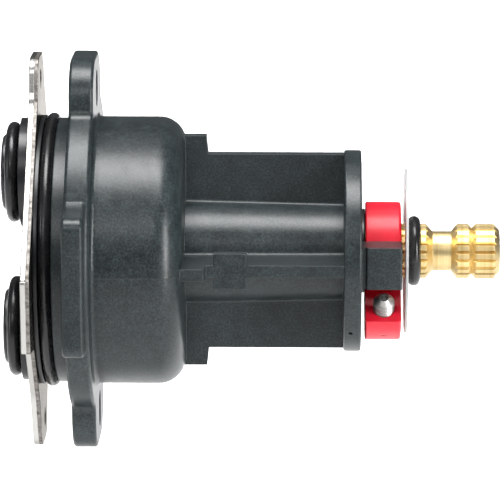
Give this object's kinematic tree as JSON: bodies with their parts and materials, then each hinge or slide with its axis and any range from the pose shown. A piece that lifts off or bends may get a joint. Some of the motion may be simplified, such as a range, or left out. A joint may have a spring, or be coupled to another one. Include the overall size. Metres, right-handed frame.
{
  "type": "diverter valve",
  "caption": "Shower diverter cartridge: black finned housing with flange and twin rear spigots, splined brass stem, red limit-stop ring and steel retaining plate.",
  "frame": {"origin": "on the valve axis, in the rear face of the housing's flange, midway between its two screw slots", "axes": "+X along the valve axis towards the stem's splined end, +Z through the flange's top ear, -Y towards the stop lug"},
  "size_m": [0.1025, 0.076, 0.082],
  "materials": {
    "housing_plastic": "moulded, glass-filled, finely mottled",
    "base_plastic": "moulded, satin",
    "plate_steel": "stamped sheet, bright sheared edge",
    "screw_steel": "turned, bright",
    "black_rubber": "moulded, slightly glossy",
    "seal_rubber": "moulded, matt",
    "ceramic": "ground and lapped",
    "driver_plastic": "moulded acetal",
    "stem_brass": "turned and rolled",
    "bearing_plastic": "moulded acetal",
    "bushing_plastic": "moulded acetal, satin",
    "stop_plastic": "moulded, glossy",
    "washer_plastic": "translucent sheet"
  },
  "bodies": {
    "housing": {"bonnet": "housing_plastic", "port_base": "base_plastic", "retaining_plate": "plate_steel", "plate_screws": "screw_steel", "body_o_ring": "black_rubber", "upper_spigot_o_ring": "black_rubber", "lower_spigot_o_ring": "black_rubber", "upper_port_seal": "seal_rubber", "inlet_port_seal": "seal_rubber", "lower_port_seal": "seal_rubber", "fixed_disc": "ceramic", "thrust_washer": "bearing_plastic", "stem_bushing": "bushing_plastic"},
    "rotor": {"stem": "stem_brass", "rear_stem_o_ring": "black_rubber", "front_stem_o_ring": "black_rubber", "moving_disc": "ceramic", "disc_driver": "driver_plastic", "disc_spring": "screw_steel", "stop_ring": "stop_plastic", "stop_screw": "screw_steel", "stop_washer": "washer_plastic", "keeper_o_ring": "black_rubber"}
  },
  "joints": [
    {"name": "stem_turn", "type": "hinge", "parent": "housing", "child": "rotor", "pos_m": [0, 0, 0], "axis": [1, 0, 0], "range_deg": [-7, 166.5]}
  ]
}
